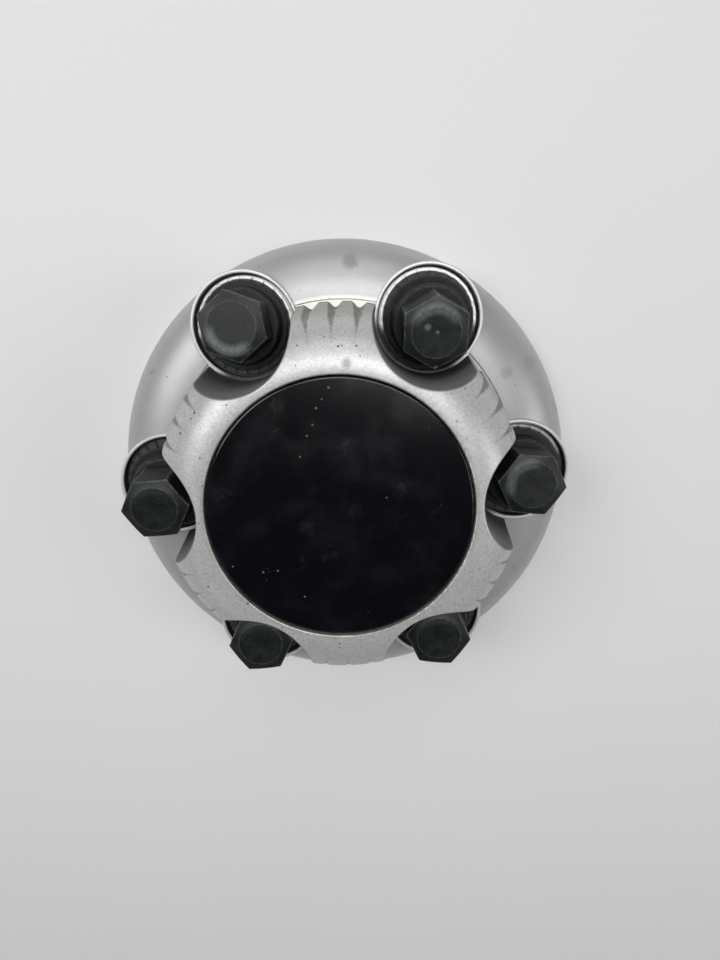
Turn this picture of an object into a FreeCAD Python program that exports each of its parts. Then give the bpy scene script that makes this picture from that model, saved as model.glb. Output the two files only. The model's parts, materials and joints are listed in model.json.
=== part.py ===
import FreeCAD, Part
import math
import os

# Wheel center cap: a fluted, domed shell with six wells, a flush center disc, and in
# each well a captive hex nut cover held from behind by a snap ring.
# Millimetres. +Z up, origin on the base plane at the cap's centre.

# Wells: bolt circle, size of a well, the rounded lip round it and the ledge where it cuts the crown
BOLT_CIRCLE = 139.7
WELL_START_DEG = 120.0
WELL_R = 19.2
LIP_Z = 20.0
LIP_WIDTH = 1.4
LIP_ROUND = 0.55
BOSS_DRAFT_DEG = 1.5
LEDGE_WIDTH = 1.2
CUT_DRAFT_DEG = 2.0
CUT_EDGE_ROUND = 0.8

# Toothed seat at the bottom of each well, with a moat between it and the wall
SEAT_DEPTH = 2.5
SEAT_HEIGHT = 2.5
MOAT_WIDTH = 1.0
FLOOR_THICK = 2.5
TEETH_PER_SEAT = 24
TOOTH_SHARE = 0.62
TOOTH_HEIGHT = 1.0

# Rim, dome and the sunk land round the crown's foot
RIM_MARGIN = 2.95
RIM_HEIGHT = 4.0
DOME_TOP_Z = 18.0
DOME_EDGE_ROUND = 0.4
LAND_WIDTH = 0.9
LAND_DROP = 0.5
WALL = 2.5

# Crown
CROWN_TOP_Z = 66.9
CROWN_DRAFT_DEG = 7.0
SHOULDER_R = 18.35
TOP_FLAT = 0.7

# Flutes on the arms of the crown, between the wells: full size at the foot, then ever shallower
# and narrower up to their runout on the shoulder
FLUTES_PER_ARM = 3
FLUTE_PITCH_DEG = 7.75
FLUTE_DEPTH = 2.25
FLUTE_HALF_WIDTH = 3.4
FLUTE_RUNOUT_DEG = 66.0
FLUTE_RUNOUT_WIDTH = 0.38
FLUTE_RUNOUT_DEPTH = 0.3
FLUTE_FLANK_START = 0.9
FLUTE_FLANK_END = 1.3
FLUTE_OVERRUN = 0.08
FLUTE_SECTIONS = 9
FLUTE_SECTION_POINTS = 21

# Center disc, bonded in a recess of the crown
DISC_R = 44.55
DISC_THICK = 2.4
DISC_RISE = 0.8
DISC_EDGE_ROUND = 0.9
DISC_GAP = 0.35
DISC_RECESS = 0.8
RECESS_ROUND = 0.45

# Nut covers
HEX_FLATS = 22.0
HEX_HEIGHT = 17.3
HEX_WALL = 2.5
HEX_ROOF = 4.0
HEX_TOP_INSET = 2.5
HEX_CHAMFER_DEG = 16.0
HEX_EDGE_ROUND = 0.5
HEX_TOP_ROUND = 0.3
COLLAR_LAP = 1.2
COLLAR_HEIGHT = 6.4
COLLAR_FLARE = 0.7
COLLAR_ROUND = 0.9
FLANGE_LAP = 1.4
FLANGE_THICK = 1.8
FLANGE_ROUND = 0.4
THREAD_BORE_R = 11.2
THREAD_LENGTH = 21.0
SKIRT_WALL = 2.8
SKIRT_TAIL = 2.5
MOUTH_CHAMFER = 0.8

# Snap rings that keep the nut covers in the cap
GROOVE_DEPTH = 1.0
RING_LAP = 2.0
RING_THICK = 2.2
RING_SPLIT = 6.0

# Fits
SKIRT_CLEAR = 0.4
SEAT_GAP = 0.3
RING_FIT = 0.15

# How near an edge lies to a level or a surface that it belongs to
NEAR = 0.02

# How each nut cover stands in its well: turn of its hex, its lean, and the way it leans
NUT_STANCE_DEG = [
    (38.6, 0.0, 0.0),
    (27.6, 9.4, -90.0),
    (53.0, 0.0, 0.0),
    (52.6, 0.0, 0.0),
    (3.6, 0.0, 0.0),
    (2.0, 6.4, -75.0),
]

V = FreeCAD.Vector
ORIGIN = V(0, 0, 0)
UP = V(0, 0, 1)

# Levels and radii that follow from the sizes above
WELL_COUNT = len(NUT_STANCE_DEG)
WELL_CIRCLE_R = BOLT_CIRCLE / 2
RIM_R = WELL_CIRCLE_R + WELL_R + RIM_MARGIN
SEAT_Z = LIP_Z - SEAT_DEPTH
FLOOR_Z = SEAT_Z - SEAT_HEIGHT
FLOOR_UNDER_Z = FLOOR_Z - FLOOR_THICK
LAND_Z = DOME_TOP_Z - LAND_DROP
DISC_SEAT_Z = CROWN_TOP_Z - DISC_RECESS - DISC_THICK
CEILING_Z = DISC_SEAT_Z - WALL
RECESS_R = DISC_R + DISC_GAP
DRAFT = math.radians(CROWN_DRAFT_DEG)
SHOULDER_CENTRE = (RECESS_R + RECESS_ROUND + TOP_FLAT, CROWN_TOP_Z - SHOULDER_R)
CUT_R = WELL_R + LEDGE_WIDTH
CUT_SLOPE = math.tan(math.radians(CUT_DRAFT_DEG))
SEAT_OUTER_R = WELL_R - MOAT_WIDTH
PIVOT_Z = (SEAT_Z + FLOOR_UNDER_Z) / 2
NUT_REST_Z = SEAT_Z + SEAT_GAP
MOST_LEAN = math.radians(max(lean for _, lean, _ in NUT_STANCE_DEG))
SKIRT_R = THREAD_BORE_R + SKIRT_WALL
HOLE_R = (SKIRT_R / math.cos(MOST_LEAN) + (SEAT_Z - PIVOT_Z) * math.tan(MOST_LEAN)
          + SKIRT_CLEAR)
FLANGE_R = HOLE_R + FLANGE_LAP
RING_R = HOLE_R + RING_LAP
HEX_SIDES = 6
HEX_CORNER_R = HEX_FLATS / 2 / math.cos(math.pi / HEX_SIDES)
HEX_TOP_R = HEX_FLATS / 2 - HEX_TOP_INSET
COLLAR_R = HEX_CORNER_R + COLLAR_LAP


def line(a, b):
    return Part.LineSegment(V(*a, 0), V(*b, 0)).toShape()


def chain(*points):
    return [line(a, b) for a, b in zip(points, points[1:])]


def arc(centre, radius, from_deg, to_deg):
    def at(deg):
        t = math.radians(deg)
        return V(centre[0] + radius * math.cos(t), centre[1] + radius * math.sin(t), 0)
    return Part.Arc(at(from_deg), at((from_deg + to_deg) / 2), at(to_deg)).toShape()


def turned(edges):
    """Turn a closed outline of (radius, height) edges about the vertical axis."""
    face = Part.Face(Part.Wire(Part.__sortEdges__(edges)))
    solid = face.revolve(ORIGIN, V(0, 1, 0), 360)
    solid.rotate(ORIGIN, V(1, 0, 0), 90)
    return solid


def cylinder(radius, low, high):
    return Part.makeCylinder(radius, high - low, V(0, 0, low))


def ring(inner, outer, low, high):
    return cylinder(outer, low, high).cut(cylinder(inner, low, high))


def well_angle(index):
    return WELL_START_DEG - index * 360.0 / WELL_COUNT


def well_centre(index):
    t = math.radians(well_angle(index))
    return V(WELL_CIRCLE_R * math.cos(t), WELL_CIRCLE_R * math.sin(t), 0)


def at_well(shape, index):
    moved = shape.copy()
    moved.translate(well_centre(index))
    return moved


def at_each_well(shape):
    return [at_well(shape, i) for i in range(WELL_COUNT)]


def wall_r(shoulder_r, z):
    """Radius at height z of the drafted wall that runs into a shoulder arc of that radius."""
    tangent_r = SHOULDER_CENTRE[0] + shoulder_r * math.cos(DRAFT)
    tangent_z = SHOULDER_CENTRE[1] + shoulder_r * math.sin(DRAFT)
    return tangent_r + (tangent_z - z) * math.tan(DRAFT)


CROWN_FOOT_R = wall_r(SHOULDER_R, LAND_Z)
WALL_LENGTH = (SHOULDER_CENTRE[1] + SHOULDER_R * math.sin(DRAFT) - LAND_Z) / math.cos(DRAFT)
DOME_INNER_R = CROWN_FOOT_R + LAND_WIDTH


def dome_outline(rim_r, top_z, base_z, inner_end):
    """Closed outline of the rim and its quarter-ellipse dome, ending inwards at inner_end."""
    ellipse = Part.Ellipse(V(DOME_INNER_R, RIM_HEIGHT, 0), rim_r - DOME_INNER_R, top_z - RIM_HEIGHT)
    curve = Part.ArcOfEllipse(ellipse, 0, math.pi / 2).toShape()
    return chain((0, base_z), (rim_r, base_z), (rim_r, RIM_HEIGHT)) + [curve] + inner_end


def crown_wall(shoulder_r, low_z, end_deg):
    """Drafted wall from low_z, then the shoulder arc up to end_deg."""
    shoulder = arc(SHOULDER_CENTRE, shoulder_r, CROWN_DRAFT_DEG, end_deg)
    start = shoulder.Vertexes[0].Point
    return [line((wall_r(shoulder_r, low_z), low_z), (start.x, start.y)), shoulder]


def up_the_skin(length):
    """Point of the crown's skin that far up from the land, over +X, and the way out of it."""
    turn = DRAFT + max(0, length - WALL_LENGTH) / SHOULDER_R
    outwards = V(math.cos(turn), 0, math.sin(turn))
    centre = V(SHOULDER_CENTRE[0], 0, SHOULDER_CENTRE[1])
    down_the_wall = V(math.sin(DRAFT), 0, -math.cos(DRAFT)) * max(0, WALL_LENGTH - length)
    return centre + outwards * SHOULDER_R + down_the_wall, outwards


def flute_section(place, outwards, half_width, depth):
    """Closed section of a flute: a cosine notch whose flanks run on, past the skin, to a lid."""
    size = math.hypot(depth, FLUTE_RUNOUT_DEPTH)
    slope = size * math.pi / 2 * math.sin(math.pi * FLUTE_FLANK_START)
    points = []
    for n in range(FLUTE_SECTION_POINTS):
        across = FLUTE_FLANK_END * (2 * n / (FLUTE_SECTION_POINTS - 1) - 1)
        inner = min(abs(across), FLUTE_FLANK_START)
        notch = size * (1 + math.cos(math.pi * inner)) / 2
        out = size - depth - notch + slope * (abs(across) - inner)
        points.append(place + outwards * out + V(0, across * half_width, 0))
    curve = Part.BSplineCurve()
    curve.interpolate(points)
    return Part.Wire([curve.toShape(), Part.makeLine(points[-1], points[0])])


def flute_cutter():
    """Notch from below the land up the wall and over the shoulder, a little past its runout."""
    full_length = WALL_LENGTH + SHOULDER_R * (math.radians(FLUTE_RUNOUT_DEG) - DRAFT)
    sections = []
    for n in range(FLUTE_SECTIONS):
        share = (1 + 2 * FLUTE_OVERRUN) * n / (FLUTE_SECTIONS - 1) - FLUTE_OVERRUN
        place, outwards = up_the_skin(share * full_length)
        half_width = FLUTE_HALF_WIDTH * (1 - (1 - FLUTE_RUNOUT_WIDTH) * share)
        sections.append(flute_section(place, outwards, half_width, FLUTE_DEPTH * (1 - share)))
    return Part.makeLoft(sections, True, False)


def fluted_crown():
    low_z = LAND_Z - WALL
    corner = (RECESS_R + RECESS_ROUND, CROWN_TOP_Z - RECESS_ROUND)
    wall = crown_wall(SHOULDER_R, low_z, 90)
    top = line((SHOULDER_CENTRE[0], CROWN_TOP_Z), (corner[0], CROWN_TOP_Z))
    recess = [arc(corner, RECESS_ROUND, 90, 180)]
    recess += chain((RECESS_R, corner[1]), (RECESS_R, DISC_SEAT_Z), (0, DISC_SEAT_Z))
    base = chain((0, DISC_SEAT_Z), (0, low_z), (wall_r(SHOULDER_R, low_z), low_z))
    crown = turned(wall + [top] + recess + base)
    middle = (FLUTES_PER_ARM - 1) / 2
    flute = flute_cutter()
    cutters = []
    for arm in range(WELL_COUNT):
        for n in range(FLUTES_PER_ARM):
            cutter = flute.copy()
            cutter.rotate(ORIGIN, UP, well_angle(arm + 0.5) + (n - middle) * FLUTE_PITCH_DEG)
            cutters.append(cutter)
    return crown.cut(cutters)


def rim_and_dome():
    corner = (DOME_INNER_R, DOME_TOP_Z - DOME_EDGE_ROUND)
    edge = arc(corner, DOME_EDGE_ROUND, 90, 180)
    inner_r = DOME_INNER_R - DOME_EDGE_ROUND
    land = chain((inner_r, corner[1]), (inner_r, LAND_Z), (0, LAND_Z), (0, 0))
    return turned(dome_outline(RIM_R, DOME_TOP_Z, 0, [edge] + land))


def boss():
    """Solid plug of one well's wall, with the outer half of its rounded lip."""
    top_r = WELL_R + LIP_WIDTH
    foot_r = top_r + LIP_Z * math.tan(math.radians(BOSS_DRAFT_DEG))
    corner = (top_r - LIP_ROUND, LIP_Z - LIP_ROUND)
    sides = chain((0, LIP_Z), (0, 0), (foot_r, 0), (top_r, corner[1]))
    return turned(sides + [arc(corner, LIP_ROUND, 0, 90), line((corner[0], LIP_Z), (0, LIP_Z))])


def well_cutter():
    """Space of one well: moat round the seat, lip's inner edge, ledge and drafted crown cut."""
    corner = (WELL_R + LIP_ROUND, LIP_Z - LIP_ROUND)
    top_z = CROWN_TOP_Z + WALL
    top_r = CUT_R + (top_z - LIP_Z) * CUT_SLOPE
    low = chain((0, SEAT_Z), (SEAT_OUTER_R, SEAT_Z), (SEAT_OUTER_R, FLOOR_Z), (WELL_R, FLOOR_Z),
                (WELL_R, corner[1]))
    high = chain((corner[0], LIP_Z), (CUT_R, LIP_Z), (top_r, top_z), (0, top_z), (0, SEAT_Z))
    return turned(low + [arc(corner, LIP_ROUND, 180, 90)] + high)


def seat_slots():
    """Bars across one seat that leave its ring of teeth."""
    pitch_deg = 360.0 / TEETH_PER_SEAT
    middle_r = (HOLE_R + SEAT_OUTER_R) / 2
    width = (1 - TOOTH_SHARE) * math.radians(pitch_deg) * middle_r
    corner = V(0, -width / 2, SEAT_Z - TOOTH_HEIGHT)
    bars = []
    for n in range(TEETH_PER_SEAT):
        bar = Part.makeBox(WELL_R, width, 2 * TOOTH_HEIGHT, corner)
        bar.rotate(ORIGIN, UP, n * pitch_deg)
        bars.append(bar)
    spokes = bars[0].fuse(bars[1:])
    return spokes.common(ring(HOLE_R - MOAT_WIDTH, SEAT_OUTER_R + MOAT_WIDTH / 2, FLOOR_Z, LIP_Z))


def hollow():
    """Inside of the shell: an even wall under the dome, behind the flutes and round the wells."""
    shoulder_r = SHOULDER_R - FLUTE_DEPTH - WALL
    end_deg = math.degrees(math.asin((CEILING_Z - SHOULDER_CENTRE[1]) / shoulder_r))
    under_z = DOME_TOP_Z - WALL
    wall = crown_wall(shoulder_r, under_z, end_deg)
    step = line((DOME_INNER_R, under_z), (wall_r(shoulder_r, under_z), under_z))
    last = wall[1].Vertexes[-1].Point
    roof = chain((last.x, last.y), (0, CEILING_Z), (0, -WALL))
    space = turned(dome_outline(RIM_R - WALL, under_z, -WALL, [step] + wall + roof))
    tube_r = WELL_R + WALL
    cut_z = LIP_Z - WALL
    cut_r = CUT_R + WALL
    top_r = cut_r + (CROWN_TOP_Z - cut_z) * CUT_SLOPE
    tube = turned(chain((0, FLOOR_UNDER_Z), (tube_r, FLOOR_UNDER_Z), (tube_r, cut_z), (cut_r, cut_z),
                        (top_r, CROWN_TOP_Z), (0, CROWN_TOP_Z), (0, FLOOR_UNDER_Z)))
    pocket = cylinder(WELL_R, -WALL, FLOOR_UNDER_Z)
    return space.cut(at_each_well(tube)).fuse(at_each_well(pocket))


def off_cut(point, index):
    """How far a point lies from the drafted cut that one well makes in the crown."""
    axis = well_centre(index)
    return math.hypot(point.x - axis.x, point.y - axis.y) - CUT_R - (point.z - LIP_Z) * CUT_SLOPE


def cut_edges(shape):
    """Edges where the crown's outside meets the cuts of the wells, above the lips."""
    samples = 5
    found = []
    for edge in shape.Edges:
        if edge.BoundBox.ZMax < LIP_Z + WALL:
            continue
        points = edge.discretize(samples)
        for i in range(WELL_COUNT):
            if max(abs(off_cut(point, i)) for point in points) < NEAR:
                found.append(edge)
    return found


def cap_shell():
    outside = rim_and_dome().fuse([fluted_crown()] + at_each_well(boss()))
    outside = outside.cut(at_each_well(well_cutter())).removeSplitter()
    outside = outside.makeFillet(CUT_EDGE_ROUND, cut_edges(outside))
    hole = cylinder(HOLE_R, 0, LIP_Z)
    shell = outside.cut([hollow()] + at_each_well(hole))
    return shell.cut(at_each_well(seat_slots()))


def center_disc():
    """Bonded disc, slightly crowned, resting on the floor of the crown's recess."""
    edge_z = DISC_SEAT_Z + DISC_THICK
    bow_r = (DISC_R ** 2 + DISC_RISE ** 2) / (2 * DISC_RISE)
    flat = cylinder(DISC_R, DISC_SEAT_Z, edge_z + DISC_RISE)
    ball = Part.makeSphere(bow_r, V(0, 0, edge_z + DISC_RISE - bow_r))
    disc = flat.common(ball)
    rim = [e for e in disc.Edges if abs(e.BoundBox.ZMin - edge_z) < NEAR and e.BoundBox.XLength > DISC_R]
    return disc.makeFillet(DISC_EDGE_ROUND, rim)


def lean_lift(lean):
    """How far a nut cover rises along its axis so that its leaning flange clears the seat."""
    leaning = (NUT_REST_Z - PIVOT_Z + FLANGE_R * math.sin(lean)) / math.cos(lean)
    return leaning - (NUT_REST_Z - PIVOT_Z)


def ring_top_level():
    """Level of a snap ring that leaves every nut cover free to lean as far as any does."""
    below = (PIVOT_Z - FLOOR_UNDER_Z + SEAT_GAP + RING_R * math.sin(MOST_LEAN)) / math.cos(MOST_LEAN)
    return PIVOT_Z - below - lean_lift(MOST_LEAN)


RING_TOP_Z = ring_top_level()
RING_LOW_Z = RING_TOP_Z - RING_THICK
SKIRT_END_Z = RING_LOW_Z - RING_FIT - SKIRT_TAIL
FLANGE_TOP_Z = NUT_REST_Z + FLANGE_THICK
COLLAR_TOP_Z = FLANGE_TOP_Z + COLLAR_HEIGHT
HEX_TOP_Z = COLLAR_TOP_Z + HEX_HEIGHT


def round_body():
    """Skirt with its groove, flange and flared collar of a nut cover, turned in one outline."""
    groove_r = SKIRT_R - GROOVE_DEPTH
    groove = (RING_LOW_Z - RING_FIT, RING_TOP_Z + RING_FIT)
    edge_r = FLANGE_R - FLANGE_ROUND
    low_edge = (edge_r, NUT_REST_Z + FLANGE_ROUND)
    high_edge = (edge_r, FLANGE_TOP_Z - FLANGE_ROUND)
    collar_edge = (COLLAR_R - COLLAR_ROUND, COLLAR_TOP_Z - COLLAR_ROUND)
    skirt = chain((0, SKIRT_END_Z), (SKIRT_R, SKIRT_END_Z), (SKIRT_R, groove[0]), (groove_r, groove[0]),
                  (groove_r, groove[1]), (SKIRT_R, groove[1]), (SKIRT_R, NUT_REST_Z), (edge_r, NUT_REST_Z))
    flange = [arc(low_edge, FLANGE_ROUND, -90, 0),
              line((FLANGE_R, low_edge[1]), (FLANGE_R, high_edge[1])),
              arc(high_edge, FLANGE_ROUND, 0, 90)]
    collar = chain((edge_r, FLANGE_TOP_Z), (COLLAR_R + COLLAR_FLARE, FLANGE_TOP_Z),
                   (COLLAR_R, collar_edge[1]))
    collar.append(arc(collar_edge, COLLAR_ROUND, 0, 90))
    closing = chain((collar_edge[0], COLLAR_TOP_Z), (0, COLLAR_TOP_Z), (0, SKIRT_END_Z))
    return turned(skirt + flange + collar + closing)


def hex_head():
    """Hex with softened edges and the shallow round chamfer of its top."""
    angles = [math.tau * k / HEX_SIDES for k in range(HEX_SIDES + 1)]
    corners = [V(HEX_CORNER_R * math.cos(t), HEX_CORNER_R * math.sin(t), FLANGE_TOP_Z) for t in angles]
    prism = Part.Face(Part.makePolygon(corners)).extrude(V(0, 0, HEX_TOP_Z - FLANGE_TOP_Z))
    uprights = [edge for edge in prism.Edges if edge.BoundBox.ZLength > NEAR]
    prism = prism.makeFillet(HEX_EDGE_ROUND, uprights)
    wide_r = HEX_CORNER_R + COLLAR_LAP
    shoulder_z = HEX_TOP_Z - (wide_r - HEX_TOP_R) * math.tan(math.radians(HEX_CHAMFER_DEG))
    chamfer = turned(chain((0, FLANGE_TOP_Z), (wide_r, FLANGE_TOP_Z), (wide_r, shoulder_z),
                           (HEX_TOP_R, HEX_TOP_Z), (0, HEX_TOP_Z), (0, FLANGE_TOP_Z)))
    head = prism.common(chamfer)
    brow = [edge for edge in head.Edges if edge.BoundBox.ZMin > FLANGE_TOP_Z + NEAR]
    return head.makeFillet(HEX_TOP_ROUND, brow)


def stepped_bore():
    """Blind threaded bore of a nut cover and the smaller core inside its hex."""
    mouth_r = THREAD_BORE_R + MOUTH_CHAMFER
    thread_end = SKIRT_END_Z + THREAD_LENGTH
    core_r = HEX_FLATS / 2 - HEX_WALL
    roof_z = HEX_TOP_Z - HEX_ROOF
    thread_start = SKIRT_END_Z + MOUTH_CHAMFER
    return turned(chain((0, SKIRT_END_Z), (mouth_r, SKIRT_END_Z), (THREAD_BORE_R, thread_start),
                        (THREAD_BORE_R, thread_end), (core_r, thread_end), (core_r, roof_z),
                        (0, roof_z), (0, SKIRT_END_Z)))


def nut_cover():
    return round_body().fuse(hex_head()).cut(stepped_bore()).removeSplitter()


def nut_retainer():
    """Split snap ring in the skirt's groove, wider than the hole in the well's floor."""
    whole = ring(SKIRT_R - GROOVE_DEPTH + RING_FIT, RING_R, RING_LOW_Z, RING_TOP_Z)
    split = Part.makeBox(RING_R, RING_SPLIT, RING_THICK, V(0, -RING_SPLIT / 2, RING_LOW_Z))
    return whole.cut(split)


def stood_in_well(shape, index):
    """Turn a nut cover or its ring, and lean it about the middle of the floor's hole."""
    turn, lean, towards = NUT_STANCE_DEG[index]
    stood = shape.copy()
    stood.rotate(ORIGIN, UP, turn)
    stood.translate(V(0, 0, lean_lift(math.radians(lean))))
    across = V(-math.sin(math.radians(towards)), math.cos(math.radians(towards)), 0)
    stood.rotate(V(0, 0, PIVOT_Z), across, lean)
    return at_well(stood, index)


def main():
    os.makedirs("parts", exist_ok=True)
    cover = nut_cover()
    retainer = nut_retainer()
    nodes = {"cap_shell": cap_shell(), "center_disc": center_disc()}
    for i in range(WELL_COUNT):
        nodes[f"nut_cover_{i + 1}"] = stood_in_well(cover, i)
        nodes[f"nut_retainer_{i + 1}"] = stood_in_well(retainer, i)
    for name, shape in nodes.items():
        shape.exportStep(f"parts/{name}.step")
        print(name, shape.isValid(), len(shape.Solids), round(shape.Volume, 1))


main()
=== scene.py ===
import json
import math
import bpy
from mathutils import Matrix, Vector


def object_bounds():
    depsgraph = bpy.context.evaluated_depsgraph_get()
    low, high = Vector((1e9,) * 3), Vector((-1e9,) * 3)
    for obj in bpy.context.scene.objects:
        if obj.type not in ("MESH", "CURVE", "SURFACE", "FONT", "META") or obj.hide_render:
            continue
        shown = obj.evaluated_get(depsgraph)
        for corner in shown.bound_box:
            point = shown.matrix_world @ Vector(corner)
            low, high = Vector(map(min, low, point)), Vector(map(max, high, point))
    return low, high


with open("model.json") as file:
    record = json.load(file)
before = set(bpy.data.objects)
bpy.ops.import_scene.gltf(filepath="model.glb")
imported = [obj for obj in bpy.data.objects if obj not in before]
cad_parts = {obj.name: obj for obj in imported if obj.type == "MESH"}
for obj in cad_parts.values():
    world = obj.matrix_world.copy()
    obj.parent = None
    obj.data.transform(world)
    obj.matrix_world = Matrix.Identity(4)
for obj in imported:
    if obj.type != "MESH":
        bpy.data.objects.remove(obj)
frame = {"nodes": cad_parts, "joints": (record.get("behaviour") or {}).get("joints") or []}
cad_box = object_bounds()

# Wheel center cap: finishes for the shell, disc and nut covers, and a pale table under soft light.
# Places and sizes are in millimetres, and MM turns them into the scene's metres.
# A pair of places is a soft edge: a mask is 0 at the first and 1 at the second.
MM = 0.001

# Camera, from the photograph's perspective
FOCAL_PX = 609.17
LONG_SIDE_PX = 960
SENSOR = 36.0
CAMERA_AT = Vector((9.904, 60.578, 257.82)) * MM
CAMERA_TURN = Vector((-0.255455, 0.008939, -0.040710))

# The cap's sizes that its dirt and wear follow
WELLS = 6
WELL_CIRCLE_R = 69.85
WELL_R = 19.2
CUT_R = 20.4
CUT_SLOPE = math.tan(math.radians(2.0))
LIP_MID_R = 19.9
BOSS_R = 21.3
LIP_Z = 20.0
FLOOR_UNDER_Z = 12.5
LAND_Z = 17.5
RIM_HEIGHT = 4.0
DOME_TOP_Z = 18.0
CEILING_Z = 61.2
RECESS_R = 44.9
DOME_INNER_R = 69.25
SHOULDER_R = 18.35
SHOULDER_CENTRE = (46.05, 48.55)
DRAFT = math.radians(7.0)
SKIN_DEPTH = 3.2
RIM_R = cad_box[1].x / MM

# Where the shell's dirt and painted shade lie, and where painted highlights make its wells' seats and the
# land at its crown's foot pale
FILM_Z = (64.0, 52.0)
FLUTE_SINK = (0.03, 0.4)
CREASE_Z = (LAND_Z + 5.0, LAND_Z + 0.5)
WELL_SHADE_Z = (56.0, 24.0)
SHADED_LIP_OUT = (-7.0, -13.0)
SEAT_BAND_INNER = (17.0, 17.6)
SEAT_BAND_OUTER = (19.0, 18.6)
UPPER_WELLS_Y = (54.0, 60.0)
RIGHT_WELL_X = (60.0, 68.0)
RIGHT_WELL_Y = (4.0, 10.0)
UPPER_LAND_Y = (48.0, 60.0)
LAND_R = (DOME_INNER_R + 1.8, DOME_INNER_R + 0.3)
BRINK_R = (RECESS_R + 2.2, RECESS_R + 0.6)

# The nut covers' sizes, from the underside of the flange up, and the turn of each hex
COLLAR_TOP = 8.2
HEX_TOP = 25.5
HEX_FLATS = 22.0
HEX_TOP_R = 8.5
HEX_CORNER_R = 12.6
HEX_CHAMFER = math.tan(math.radians(16.0))
COLLAR_R = 13.9
FLANGE_R = 16.4
HEX_TURN_DEG = (38.6, 27.6, 53.0, 52.6, 3.6, 2.0)

# Which way a painted highlight, a crescent of sheen, lies on each nut cover's top, and how strong it is
SHEEN_DEG = (243, 90, 140, 100, 100, 100)
SHEEN_STRENGTH = (1.0, 0.6, 0.6, 0.15, 0.1, 0.1)
SHEEN_INNER = (HEX_TOP_R - 3.2, HEX_TOP_R - 1.0)
SHEEN_OUTER = (HEX_TOP_R + 2.2, HEX_TOP_R + 0.6)

# Single marks, each at an x and y with its radius
DISC_DUST = ((-1.5, 40.9, 0.5), (-3.8, 37.3, 0.35), (-5.8, 34.6, 0.5), (-7.2, 29.3, 0.4), (-9.2, 25.9, 0.4),
             (-11.8, 19.2, 0.4), (15.6, 4.4, 0.4), (-26.9, -20.3, 0.5), (-21.9, -19.9, 0.5),
             (-37.1, -17.9, 0.45), (-13.4, -29.8, 0.5))
DISC_SMEARS = ((-18.0, 36.1, 4.0), (5.6, 0.6, 4.0), (20.6, 8.5, 4.5), (-10.7, -4.7, 4.0), (-4.0, -14.5, 4.5),
               (-37.9, 6.4, 5.0), (3.6, 22.4, 4.0))
NUT_SPOTS = ((), ((0.3, 0.4, 0.9), (-3.0, 2.2, 1.6), (0.0, -11.9, 1.0)), (), (), (), ())
SHELL_CHIPS = ((-10.6, 54.0, 0.39), (7.8, 53.2, 0.42), (8.8, 50.2, 0.35), (3.3, 53.5, 0.35),
               (38.6, 28.7, 0.42), (41.6, 38.4, 0.35), (-33.9, 36.7, 0.42), (-45.1, 34.3, 0.49),
               (-50.6, 27.7, 0.56), (68.8, 33.7, 0.35), (-67.6, 42.5, 0.42))
SHELL_SMUDGES = ((4.6, 48.3, 2.2), (6.2, 82.4, 4.0), (75.2, 41.9, 4.0), (65.3, 38.9, 3.5))

# Near-greys of paint, dirt and wear, and of painted shade and painted highlights
FILM = (0.36, 0.37, 0.32, 1.0)
GRIME = (0.15, 0.155, 0.125, 1.0)
SOOT_AND_SHADE = (0.030, 0.030, 0.028, 1.0)
HIGHLIGHT_CREAM = (0.84, 0.83, 0.77, 1.0)
TAN = (0.40, 0.37, 0.30, 1.0)
DISC_BLACK = (0.0016, 0.0013, 0.0025, 1.0)
DISC_HAZE = (0.014, 0.0135, 0.0160, 1.0)
NUT_DARK = (0.0050, 0.0060, 0.0062, 1.0)
NUT_DUSTY = (0.0130, 0.0155, 0.0160, 1.0)
NUT_WEAR_AND_SHEEN = (0.150, 0.165, 0.165, 1.0)

# Sheen of the silver paint where it is clean
SILVER_METALLIC = 0.36
SILVER_ROUGHNESS = 0.38

# Backdrop: a dim room that shows pale, and how far out the table turns to the same pale.
# Reflections show a share of the pale, and only up to a height of the direction they come from.
DIM = (0.04, 0.04, 0.045, 1.0)
PALE = (0.66, 0.66, 0.66, 1.0)
PALE_TABLE_R = (350.0, 900.0)
PALE_HEIGHT = (0.6, 0.35)
GLOSSY_SHARE = 0.3
TABLE_SIZE_M = 6.0

# Soft panels round the table: degrees from straight up and round from +X, size in metres, watts and tint
PANEL_DISTANCE_M = 1.2
PANELS = (
    ("top", (16, 72), (0.8, 0.5), 6.8, (1.0, 1.0, 1.0)),
    ("back", (48, 88), (0.7, 0.4), 1.7, (1.0, 1.0, 1.0)),
    ("left", (41, 152), (0.6, 0.6), 4.8, (0.97, 0.985, 1.0)),
    ("right", (54, 352), (0.5, 0.5), 2.4, (1.0, 1.0, 0.98)),
    ("low_left", (60, 225), (0.4, 0.4), 0.25, (1.0, 1.0, 1.0)),
    ("low_right", (60, 312), (0.4, 0.4), 0.12, (1.0, 1.0, 0.97)),
)


def operator(operation, swapped=False):
    """A method that joins a value and another operand with one Math node."""
    def method(self, other):
        return self.maths(operation, *((other, self) if swapped else (self, other)))
    return method


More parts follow.
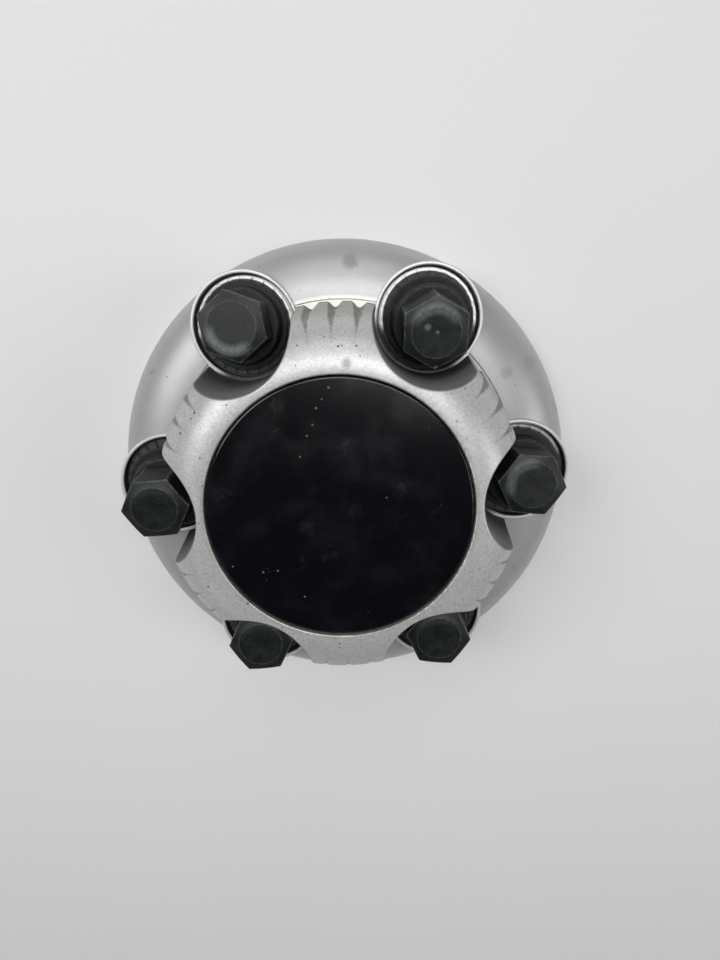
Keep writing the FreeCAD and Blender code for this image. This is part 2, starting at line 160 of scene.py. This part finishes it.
class Value:
    """A shader socket. Arithmetic on it adds Math nodes to its finish."""

    def __init__(self, finish, socket):
        self.finish = finish
        self.socket = socket

    def maths(self, operation, *operands):
        inputs = dict(zip(("Value", "Value_001", "Value_002"), operands))
        return self.finish.add("Math", {"operation": operation}, inputs)

    __add__ = operator("ADD")
    __radd__ = operator("ADD", swapped=True)
    __sub__ = operator("SUBTRACT")
    __rsub__ = operator("SUBTRACT", swapped=True)
    __mul__ = operator("MULTIPLY")
    __rmul__ = operator("MULTIPLY", swapped=True)
    __truediv__ = operator("DIVIDE")
    __rtruediv__ = operator("DIVIDE", swapped=True)
    __pow__ = operator("POWER")
    __rpow__ = operator("POWER", swapped=True)
    above = operator("GREATER_THAN")
    least = operator("MINIMUM")
    most = operator("MAXIMUM")

    def size(self):
        return self.maths("ABSOLUTE", self)

    def root(self):
        return self.maths("SQRT", self)

    def cos(self):
        return self.maths("COSINE", self)

    def sin(self):
        return self.maths("SINE", self)

    def wrap(self, low, high):
        return self.maths("WRAP", self, high, low)

    def step(self, start, end):
        """Smooth step from 0 at start to 1 at end, which may be the lower of the two."""
        inputs = {"Value": self, "From Min": start, "From Max": end}
        return self.finish.add("MapRange", {"interpolation_type": "SMOOTHSTEP"}, inputs)


class Finish:
    """The node tree of a material or of the world. Its points are in millimetres."""

    def __init__(self, owner):
        self.owner = owner
        owner.use_nodes = True
        self.tree = owner.node_tree
        self.tree.nodes.clear()

    def add(self, kind, settings=None, inputs=None, output=None):
        """Add a node: its settings first, then its sockets' values or links. Returns one output."""
        node = self.tree.nodes.new("ShaderNode" + kind)
        for name, value in (settings or {}).items():
            setattr(node, name, value)
        sockets = {socket.identifier: socket for socket in node.inputs}
        for name, value in (inputs or {}).items():
            if isinstance(value, Value):
                self.tree.links.new(value.socket, sockets[name])
            else:
                sockets[name].default_value = value
        outputs = {socket.identifier: socket for socket in node.outputs}
        return Value(self, outputs[output] if output else node.outputs[0]) if outputs else node

    def point(self, origin=(0, 0, 0), turn=(0, 0, 0), scale=(1, 1, 1)):
        """Object coordinates in millimetres, from an origin and a turn of the part's own frame."""
        inputs = {"Vector": self.add("TexCoord", output="Object"), "Location": origin,
                  "Rotation": turn, "Scale": [MM * s for s in scale]}
        return self.add("Mapping", {"vector_type": "TEXTURE"}, inputs)

    def split(self, point):
        return [self.add("SeparateXYZ", inputs={"Vector": point}, output=axis) for axis in "XYZ"]

    def noise(self, point, size, detail=2.0, rough=0.5):
        """Soft noise about 0.5, with blotches of that size in millimetres."""
        inputs = {"Vector": point, "Scale": 1 / size, "Detail": detail, "Roughness": rough}
        return self.add("TexNoise", inputs=inputs, output="Fac")

    def spots(self, point, spacing, largest, soft=0.4):
        """Round spots of random size, up to a largest radius, one in each cell of that spacing."""
        inputs = {"Vector": point, "Scale": 1 / spacing}
        away = self.add("TexVoronoi", inputs=inputs, output="Distance") * spacing
        cell = self.add("TexVoronoi", inputs=inputs, output="Color")
        chance = self.add("SeparateXYZ", inputs={"Vector": cell}, output="X")
        radius = chance ** 3.0 * largest
        return (away / (radius + 0.001)).step(1.0, 1.0 - soft)

    def lines(self, point, size, width):
        """Thin wandering lines where a noise crosses its middle value."""
        return (self.noise(point, size, 1.0) - 0.5).size().step(width, 0.0)

    def marks(self, point, places, ragged=0.3):
        """Soft ragged marks seen from above, each at an x and y with its radius."""
        shift = self.add("TexNoise", inputs={"Vector": point, "Scale": 2.5, "Detail": 2.0}, output="Color")
        shift = self.vector("MULTIPLY_ADD", shift, (2 * ragged, 2 * ragged, 0), (-ragged, -ragged, 0))
        flat = self.vector("MULTIPLY_ADD", point, (1, 1, 0), shift)
        strongest = 0.0
        for x, y, radius in places:
            away = self.vector("DISTANCE", flat, (x, y, 0), output="Value")
            strongest = away.step(radius, radius / 3).most(strongest)
        return strongest

    def vector(self, operation, *operands, output=None):
        inputs = dict(zip(("Vector", "Vector_001", "Vector_002"), operands))
        return self.add("VectorMath", {"operation": operation}, inputs, output)

    def mix(self, factor, low, high):
        inputs = {"Factor_Float": factor, "A_Color": low, "B_Color": high}
        return self.add("Mix", {"data_type": "RGBA"}, inputs, "Result_Color")

    def bump(self, height, depth):
        """Normal of a surface whose height runs over that depth in millimetres."""
        return self.add("Bump", inputs={"Height": height, "Distance": depth * MM})

    def seen(self, reach=1.0):
        """How far a backdrop shows as pale: fully to the camera, in part within reach of a reflection."""
        looked_at, glossy, through = [self.add("LightPath", output=f"Is {kind} Ray")
                                      for kind in ("Camera", "Glossy", "Transmission")]
        return looked_at.most(through).most(glossy * GLOSSY_SHARE * reach)

    def plain(self, **inputs):
        """A Principled shader, its sockets named in lower case with underscores."""
        named = {name.replace("_", " ").title(): value for name, value in inputs.items()}
        named = {"Specular IOR Level" if k == "Specular" else k: v for k, v in named.items()}
        return self.add("BsdfPrincipled", inputs=named)

    def surface(self, **inputs):
        self.add("OutputMaterial", inputs={"Surface": self.plain(**inputs)})
        return self.owner


def grey(level, warm=0.0):
    """An opaque near-grey. Warm above 0 leans to yellow and below 0 to blue."""
    return (level * (1 + warm / 2), level, level * (1 - warm), 1.0)


def silver_paint():
    finish = Finish(bpy.data.materials.new("silver_paint"))
    point = finish.point()
    x, y, z = finish.split(point)
    r = (x * x + y * y).root()

    # Place beside the nearest well's axis: out from the cap's centre, aside, and straight away
    off = y.maths("ARCTAN2", y, x).wrap(-math.pi / WELLS, math.pi / WELLS)
    out = r * off.cos() - WELL_CIRCLE_R
    aside = r * off.sin()
    w = (out * out + aside * aside).root()

    # A well ends on the middle of its lip, and above the lip on the wall it cuts in the crown
    edge = LIP_MID_R + z.step(LIP_Z - 0.4, LIP_Z) * (CUT_R + 0.3 - LIP_MID_R)
    edge = edge + (z - LIP_Z).most(0.0) * CUT_SLOPE
    in_well = (w - edge).step(0.2, -0.2)

    # Depth below the skin that the crown would have without its flutes
    right = r - SHOULDER_CENTRE[0]
    up = z - SHOULDER_CENTRE[1]
    wall_reach = right * math.cos(DRAFT) + up * math.sin(DRAFT)
    shoulder_reach = (right * right + up * up).root()
    on_shoulder = up.above(SHOULDER_R * math.sin(DRAFT))
    sunk = SHOULDER_R - wall_reach - (shoulder_reach - wall_reach) * on_shoulder

    # Dirt: a film low on the arms and grime in the flutes. Painted shade darkens the creases at the crown's
    # foot, and soot with painted shade darkens the wells
    cloud = finish.noise(point, 9.0, 4.0)
    grain = finish.noise(point, 0.35, 2.0, 0.7)
    mottle = finish.noise(point, 0.9, 3.0, 0.75)
    streak = finish.noise(finish.point(scale=(1.0, 1.0, 6.0)), 2.0, 3.0)
    on_crown = z.above(LAND_Z + 0.02) * sunk.above(-0.3) * (1.0 - in_well)
    film = on_crown * z.step(*FILM_Z)
    flute = on_crown * sunk.step(*FLUTE_SINK)
    crease_shade = on_crown * z.step(*CREASE_Z)
    seat = in_well * z.step(LIP_Z - 0.4, LIP_Z - 0.8)
    cut = in_well * z.step(LIP_Z + 0.2, LIP_Z + 1.0)
    # Painted highlight: pale seats in the upper wells and, weaker, in the right well
    lit_side = y.step(*UPPER_WELLS_Y).most(x.step(*RIGHT_WELL_X) * y.step(*RIGHT_WELL_Y) * 0.7)
    seat_highlight = seat * w.step(*SEAT_BAND_INNER) * w.step(*SEAT_BAND_OUTER) * lit_side
    # Soot with painted shade: the seats off the lit side near black, the cut walls dark and darker towards
    # the bottom
    soot_and_well_shade = (seat - seat_highlight) * 0.97 + cut * (0.5 + 0.25 * cloud + 0.3 * z.step(*WELL_SHADE_Z))
    cracks = on_crown * finish.lines(point, 2.4, 0.012) * cloud.step(0.45, 0.6)
    specks = finish.spots(point, 2.2, 0.52) * cloud.step(0.38, 0.55) * (0.3 + 0.7 * on_crown)
    specks = specks.most(finish.marks(point, SHELL_CHIPS))
    smudge = finish.noise(point, 6.0, 5.0, 0.65).step(0.58, 0.75) * finish.noise(point, 28.0).step(0.5, 0.65)
    smudge = smudge.most(finish.marks(point, SHELL_SMUDGES, 1.5) * cloud.step(0.2, 0.8))

    # The wells' lips (painted highlight, and painted shade on the crown side), the land at the crown's foot
    # (painted highlight on its upper side) and the brink of the disc's recess
    lip = w.step(WELL_R - 0.1, WELL_R + 0.2) * w.step(BOSS_R, BOSS_R - 0.5)
    lip = lip * z.step(LIP_Z - 1.0, LIP_Z - 0.3) * z.step(LIP_Z + 0.3, LIP_Z + 0.1)
    shaded_lip = lip * out.step(*SHADED_LIP_OUT)
    land_highlight = r.step(*LAND_R) * z.above(LAND_Z - 1.0) * (1.0 - on_crown) * (1.0 - in_well)
    land_highlight = land_highlight * y.step(*UPPER_LAND_Y)
    brink = r.step(*BRINK_R) * z.above(CEILING_Z + 1.0)

    # Paint covers the crown's skin, the dome and the wells, and bare plastic shows within
    along = (r - DOME_INNER_R).most(0.0) / (RIM_R - DOME_INNER_R)
    over = (z - RIM_HEIGHT) / (DOME_TOP_Z - RIM_HEIGHT)
    skin = (SKIN_DEPTH - sunk).above(0.0) * z.above(LAND_Z - 1.0)
    skin = skin * right.above(0.0).most(z.above(CEILING_Z + 1.0))
    dome = r.above(DOME_INNER_R - 0.5) * (along * along + over * over).above(0.9) * z.above(RIM_HEIGHT)
    wells = in_well * z.above(FLOOR_UNDER_Z + 0.1)
    outside = skin.most(dome).most(r.above(RIM_R - 0.3)).most(wells)

    tone = finish.mix(cloud.step(0.3, 0.7), grey(0.46), grey(0.52))
    # Painted shade: off the crown and the lips the same paint is a darker grey
    tone = finish.mix((1.0 - on_crown) * (1.0 - lip) * 0.7, tone, grey(0.39))
    tone = finish.mix(grain.step(0.3, 0.7) * 0.25, tone, grey(0.64))
    tone = finish.mix(on_crown * mottle.step(0.55, 0.8) * 0.5, tone, grey(0.30, 0.04))
    tone = finish.mix(on_crown * mottle.step(0.6, 0.3) * 0.6, tone, grey(0.70))
    # Painted highlights: lighter lips off the crown side, and pale seats
    tone = finish.mix(((lip - shaded_lip) * 0.6).most(seat_highlight * 0.9), tone, grey(0.82))
    # Painted highlight: cream land on the upper side of the crown's foot
    tone = finish.mix(land_highlight * 0.75, tone, HIGHLIGHT_CREAM)
    tone = finish.mix(brink * cloud.step(0.35, 0.6) * 0.5, tone, TAN)
    tone = finish.mix(film * (0.3 + 0.6 * streak), tone, FILM)
    tone = finish.mix((flute * (0.4 + 0.75 * streak)).least(1.0), tone, GRIME)
    tone = finish.mix(smudge * 0.55, tone, GRIME)
    # Painted shade in a soot colour on the creases, the crown side of the lips and the wells, these with
    # some soot
    tone = finish.mix((crease_shade * 0.8 + soot_and_well_shade + shaded_lip * 0.95).least(1.0), tone, SOOT_AND_SHADE)
    tone = finish.mix(specks.most(cracks * 0.5), tone, SOOT_AND_SHADE)
    tone = finish.mix(outside, grey(0.06), tone)
    dirt = (film * 0.4 + flute * 0.3 + smudge * 0.4 + soot_and_well_shade + specks).least(1.0)
    return finish.surface(base_color=tone, metallic=(1.0 - dirt) * SILVER_METALLIC * outside,
                          roughness=SILVER_ROUGHNESS + dirt * 0.3, normal=finish.bump(grain, 0.012))


def gloss_black():
    finish = Finish(bpy.data.materials.new("gloss_black"))
    point = finish.point()
    haze = finish.noise(point, 14.0, 4.0, 0.6).step(0.4, 0.75)
    scratch = finish.lines(finish.point(turn=(0, 0, 0.5), scale=(9, 1, 1)), 5.0, 0.004)
    scratch = scratch * finish.noise(point, 9.0).step(0.55, 0.68)
    dust = finish.marks(point, DISC_DUST, 0.15).most(finish.spots(point, 5.0, 0.2))
    smear = finish.marks(point, DISC_SMEARS, 2.5) * finish.noise(point, 2.2, 4.0, 0.65).step(0.35, 0.8)
    tone = finish.mix(haze * 0.3 + smear * 0.7, DISC_BLACK, DISC_HAZE)
    tone = finish.mix(scratch * 0.35, tone, grey(0.08))
    tone = finish.mix(dust * 0.5, tone, grey(0.22))
    return finish.surface(base_color=tone, roughness=0.18 + smear * 0.1 + haze * 0.06 + dust * 0.4)


def nut_black(index):
    finish = Finish(bpy.data.materials.new(f"nut_black_{index + 1}"))
    joint = frame["joints"][index]
    lean = Vector((0, 0, 1)).rotation_difference(Vector(joint["axis"]))
    point = finish.point(joint["pos_m"], lean.to_euler())
    x, y, z = finish.split(point)
    r = (x * x + y * y).root()
    flats = 0.0
    for deg in (30, 90, 150):
        t = math.radians(deg + HEX_TURN_DEG[index])
        flats = (x * math.cos(t) + y * math.sin(t)).size().most(flats)

    # Worn edges: corners of the hex, its brow, the round of its top, the collar and the flange
    on_hex = z.step(COLLAR_TOP, COLLAR_TOP + 1.5)
    below_cone = z - HEX_TOP + (r - HEX_TOP_R).most(0.0) * HEX_CHAMFER
    corner = r.step(HEX_CORNER_R - 0.6, HEX_CORNER_R) * on_hex
    brow = flats.step(HEX_FLATS / 2 - 0.6, HEX_FLATS / 2 - 0.1) * below_cone.step(-0.9, -0.2)
    top_edge = (r - HEX_TOP_R).size().step(0.5, 0.1) * below_cone.step(-0.6, -0.2)
    collar = r.step(COLLAR_R - 1.3, COLLAR_R - 0.6) * z.step(COLLAR_TOP - 1.2, COLLAR_TOP - 0.3)
    flange = r.step(FLANGE_R - 0.5, FLANGE_R - 0.1)
    cloud = finish.noise(point, 5.0, 4.0)
    patchy = finish.noise(point, 1.4, 4.0, 0.7).step(0.3, 0.7)
    worn = corner * 0.5 + brow * 0.75 + top_edge * 0.25 + collar * (1.0 - on_hex) * 0.2 + flange * 0.2
    worn = worn * patchy

    # A painted highlight, a crescent of sheen on one side of the top's chamfer, and single spots on the top
    towards = math.radians(SHEEN_DEG[index])
    side = (x * math.cos(towards) + y * math.sin(towards)) / r
    sheen_and_spots = side.step(0.2, 0.8) * r.step(*SHEEN_INNER) * r.step(*SHEEN_OUTER) * below_cone.step(-0.6, -0.3)
    sheen_and_spots = sheen_and_spots * (0.6 + 0.4 * patchy) * SHEEN_STRENGTH[index]
    sheen_and_spots = sheen_and_spots + finish.marks(point, NUT_SPOTS[index]) * 0.6

    # Fine rings left by a wrench, dust on what faces up, and rougher flanks
    angle = y.maths("ARCTAN2", y, x)
    track = finish.add("CombineXYZ", inputs={"X": r, "Y": z * 0.3, "Z": angle * 0.6})
    rings = finish.noise(track, 0.35, 2.0).step(0.56, 0.72)
    dust = below_cone.step(-0.4, -0.1).most(z.step(COLLAR_TOP + 0.2, COLLAR_TOP)) * cloud.step(0.3, 0.75)
    flank = below_cone.step(-0.2, -0.7)
    grain = finish.noise(point, 0.3, 2.0)
    tone = finish.mix(dust * 0.7, NUT_DARK, NUT_DUSTY)
    tone = finish.mix(rings * 0.12, tone, NUT_WEAR_AND_SHEEN)
    tone = finish.mix((worn + sheen_and_spots).least(1.0), tone, NUT_WEAR_AND_SHEEN)
    return finish.surface(base_color=tone, roughness=0.34 + cloud * 0.12 + dust * 0.08 + flank * 0.2,
                          specular=0.38, normal=finish.bump(grain, 0.01))


def ring_plastic():
    finish = Finish(bpy.data.materials.new("ring_plastic"))
    cloud = finish.noise(finish.point(), 4.0, 4.0)
    tone = finish.mix(cloud, grey(0.05), grey(0.09))
    return finish.surface(base_color=tone, roughness=0.5 + cloud * 0.1)


def table_white():
    finish = Finish(bpy.data.materials.new("table_white"))
    point = finish.point()
    x, y = finish.split(point)[:2]
    cloud = finish.noise(point, 160.0, 2.0)
    near = finish.plain(base_color=finish.mix(cloud, grey(0.78), grey(0.81)), roughness=0.6, specular=0.3)
    far = finish.add("Emission", inputs={"Color": PALE})
    share = (x * x + y * y).root().step(*PALE_TABLE_R) * finish.seen()
    table = finish.add("MixShader", inputs={"Fac": share, "Shader": near, "Shader_001": far})
    finish.add("OutputMaterial", inputs={"Surface": table})
    return finish.owner


def dress(node, material):
    frame["nodes"][node].data.materials.clear()
    frame["nodes"][node].data.materials.append(material)


def floor():
    bpy.ops.mesh.primitive_plane_add(size=TABLE_SIZE_M)
    plane = bpy.context.object
    plane.name = "table"
    plane.data.materials.append(table_white())


def panel(name, at, size, power, tint):
    """A soft rectangular lamp that faces the cap. Its place and size are in metres."""
    lamp = bpy.data.lights.new(name, "AREA")
    lamp.shape = "RECTANGLE"
    lamp.size, lamp.size_y = size
    lamp.energy = power
    lamp.color = tint
    thing = bpy.data.objects.new(name, lamp)
    thing.location = at
    thing.rotation_euler = (-at).to_track_quat("-Z", "Y").to_euler()
    bpy.context.scene.collection.objects.link(thing)


def light():
    room = Finish(bpy.data.worlds.new("room"))
    height = room.split(room.add("TexCoord", output="Generated"))[2]
    sky = room.mix(room.seen(height.step(*PALE_HEIGHT)), DIM, PALE)
    room.add("OutputWorld", inputs={"Surface": room.add("Background", inputs={"Color": sky})})
    bpy.context.scene.world = room.owner
    for name, (from_top, round_from_x), size, power, tint in PANELS:
        tilt = math.radians(from_top)
        turn = math.radians(round_from_x)
        towards = Vector((math.sin(tilt) * math.cos(turn), math.sin(tilt) * math.sin(turn), math.cos(tilt)))
        panel(name, towards * PANEL_DISTANCE_M, size, power, tint)


def camera():
    data = bpy.data.cameras.new("camera")
    data.sensor_width = SENSOR
    data.lens = FOCAL_PX / LONG_SIDE_PX * SENSOR
    data.clip_start = 0.01
    thing = bpy.data.objects.new("camera", data)
    thing.matrix_world = Matrix.Translation(CAMERA_AT) @ Matrix.Rotation(CAMERA_TURN.length, 4, CAMERA_TURN)
    bpy.context.scene.collection.objects.link(thing)
    bpy.context.scene.camera = thing


dress("cap_shell", silver_paint())
dress("center_disc", gloss_black())
ring_finish = ring_plastic()
for i in range(WELLS):
    dress(f"nut_cover_{i + 1}", nut_black(i))
    dress(f"nut_retainer_{i + 1}", ring_finish)
floor()
light()
camera()
bpy.context.scene.view_settings.view_transform = "Standard"
